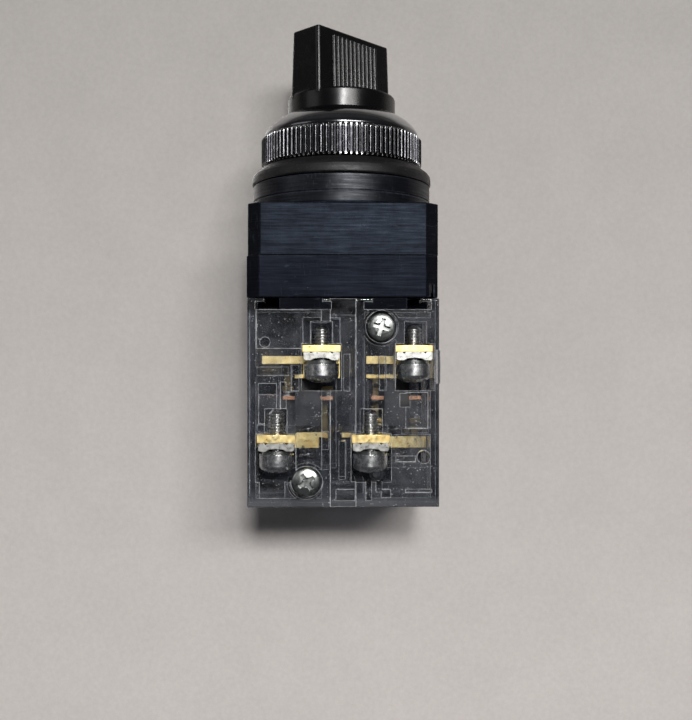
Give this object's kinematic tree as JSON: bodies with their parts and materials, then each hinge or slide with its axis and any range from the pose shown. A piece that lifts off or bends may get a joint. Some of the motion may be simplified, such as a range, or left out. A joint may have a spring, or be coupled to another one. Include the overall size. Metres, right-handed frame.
{
  "type": "rotary selector switch",
  "caption": "Panel-mount rotary selector switch: lever knob, knurled ring nut, gasket, square operator body and clear screw-terminal contact blocks.",
  "frame": {"origin": "on the switch axis at the front face of the panel gasket, the plane of the panel's rear face", "axes": "+Z out of the panel towards the lever, -Y towards the front contact block's terminal face, +X to the right of that face"},
  "size_m": [0.0412, 0.0406, 0.1035],
  "materials": {
    "knob_black": "satin moulded",
    "inlay_white": "smooth moulded",
    "body_black": "satin moulded, handling scratches",
    "inner_plastic": "plain moulded",
    "rubber_black": "matte",
    "chrome_ring": "bright plated, straight knurl",
    "clear_plastic": "clear moulded polycarbonate",
    "brass_strip": "stamped, bright",
    "copper_bridge": "stamped copper alloy",
    "silver_tip": "silver alloy contact face",
    "zinc_clamp": "bright zinc plated",
    "zinc_steel": "zinc plated",
    "spring_steel": "drawn wire"
  },
  "bodies": {
    "housing": {"detent_springs": "spring_steel", "front_contact_base": "clear_plastic", "front_contact_cover": "clear_plastic", "front_fixed_contacts": "silver_tip", "front_lock_washers": "zinc_steel", "front_nc_return_spring": "spring_steel", "front_no_return_spring": "spring_steel", "front_saddle_clamps": "zinc_clamp", "front_terminal_nc_lower": "brass_strip", "front_terminal_nc_upper": "brass_strip", "front_terminal_no_lower": "brass_strip", "front_terminal_no_upper": "brass_strip", "front_terminal_screws": "zinc_steel", "front_tie_screws": "zinc_steel", "housing_screws": "zinc_steel", "operator_base": "body_black", "operator_housing": "body_black", "panel_gasket": "rubber_black", "rear_contact_base": "clear_plastic", "rear_contact_cover": "clear_plastic", "rear_fixed_contacts": "silver_tip", "rear_lock_washers": "zinc_steel", "rear_nc_return_spring": "spring_steel", "rear_no_return_spring": "spring_steel", "rear_saddle_clamps": "zinc_clamp", "rear_terminal_nc_lower": "brass_strip", "rear_terminal_nc_upper": "brass_strip", "rear_terminal_no_lower": "brass_strip", "rear_terminal_no_upper": "brass_strip", "rear_terminal_screws": "zinc_steel", "rear_tie_screws": "zinc_steel", "spacer_ring": "body_black"},
    "knob": {"lever_knob": "knob_black", "pointer_inlay": "inlay_white", "knob_cap": "knob_black", "knob_screw": "zinc_steel", "drive_shaft": "zinc_steel", "shaft_seal": "rubber_black", "shaft_circlip": "spring_steel", "cam_rotor": "inner_plastic"},
    "detent_balls": {"detent_balls": "spring_steel"},
    "push_plate": {"push_plate": "inner_plastic"},
    "bezel_ring": {"bezel_ring": "chrome_ring"},
    "front_nc_plunger": {"front_nc_plunger": "inner_plastic", "front_nc_bridge": "copper_bridge", "front_nc_tips": "silver_tip", "front_nc_contact_spring": "spring_steel"},
    "front_no_plunger": {"front_no_plunger": "inner_plastic", "front_no_bridge": "copper_bridge", "front_no_tips": "silver_tip", "front_no_contact_spring": "spring_steel"},
    "rear_nc_plunger": {"rear_nc_plunger": "inner_plastic", "rear_nc_bridge": "copper_bridge", "rear_nc_tips": "silver_tip", "rear_nc_contact_spring": "spring_steel"},
    "rear_no_plunger": {"rear_no_plunger": "inner_plastic", "rear_no_bridge": "copper_bridge", "rear_no_tips": "silver_tip", "rear_no_contact_spring": "spring_steel"}
  },
  "joints": [
    {"name": "knob_turn", "type": "hinge", "parent": "housing", "child": "knob", "pos_m": [0, 0, 0], "axis": [0, 0, 1], "range_deg": [0, 90]},
    {"name": "push_plate_slide", "type": "slide", "parent": "housing", "child": "push_plate", "axis": [0, 0, 1], "range_m": [-0.003, 0]},
    {"name": "detent_slide", "type": "slide", "parent": "housing", "child": "detent_balls", "axis": [0, 0, 1], "range_m": [-0.0006, 0], "deforming": ["detent_springs"]},
    {"name": "ring_clamp_slide", "type": "slide", "parent": "housing", "child": "bezel_ring", "axis": [0, 0, 1], "range_m": [0, 0.006]},
    {"name": "front_nc_slide", "type": "slide", "parent": "housing", "child": "front_nc_plunger", "axis": [0, 0, 1], "range_m": [-0.003, 0], "deforming": ["front_nc_return_spring"]},
    {"name": "front_no_slide", "type": "slide", "parent": "housing", "child": "front_no_plunger", "axis": [0, 0, 1], "range_m": [-0.003, 0], "deforming": ["front_no_return_spring"]},
    {"name": "rear_nc_slide", "type": "slide", "parent": "housing", "child": "rear_nc_plunger", "axis": [0, 0, 1], "range_m": [-0.003, 0], "deforming": ["rear_nc_return_spring"]},
    {"name": "rear_no_slide", "type": "slide", "parent": "housing", "child": "rear_no_plunger", "axis": [0, 0, 1], "range_m": [-0.003, 0], "deforming": ["rear_no_return_spring"]}
  ],
  "couplings": [
    {"joint": "push_plate_slide", "follows": "knob_turn", "m_per_rad": -0.0019099},
    {"joint": "front_nc_slide", "follows": "knob_turn", "m_per_rad": -0.0019099},
    {"joint": "front_no_slide", "follows": "knob_turn", "m_per_rad": -0.0019099},
    {"joint": "rear_nc_slide", "follows": "knob_turn", "m_per_rad": -0.0019099},
    {"joint": "rear_no_slide", "follows": "knob_turn", "m_per_rad": -0.0019099}
  ]
}
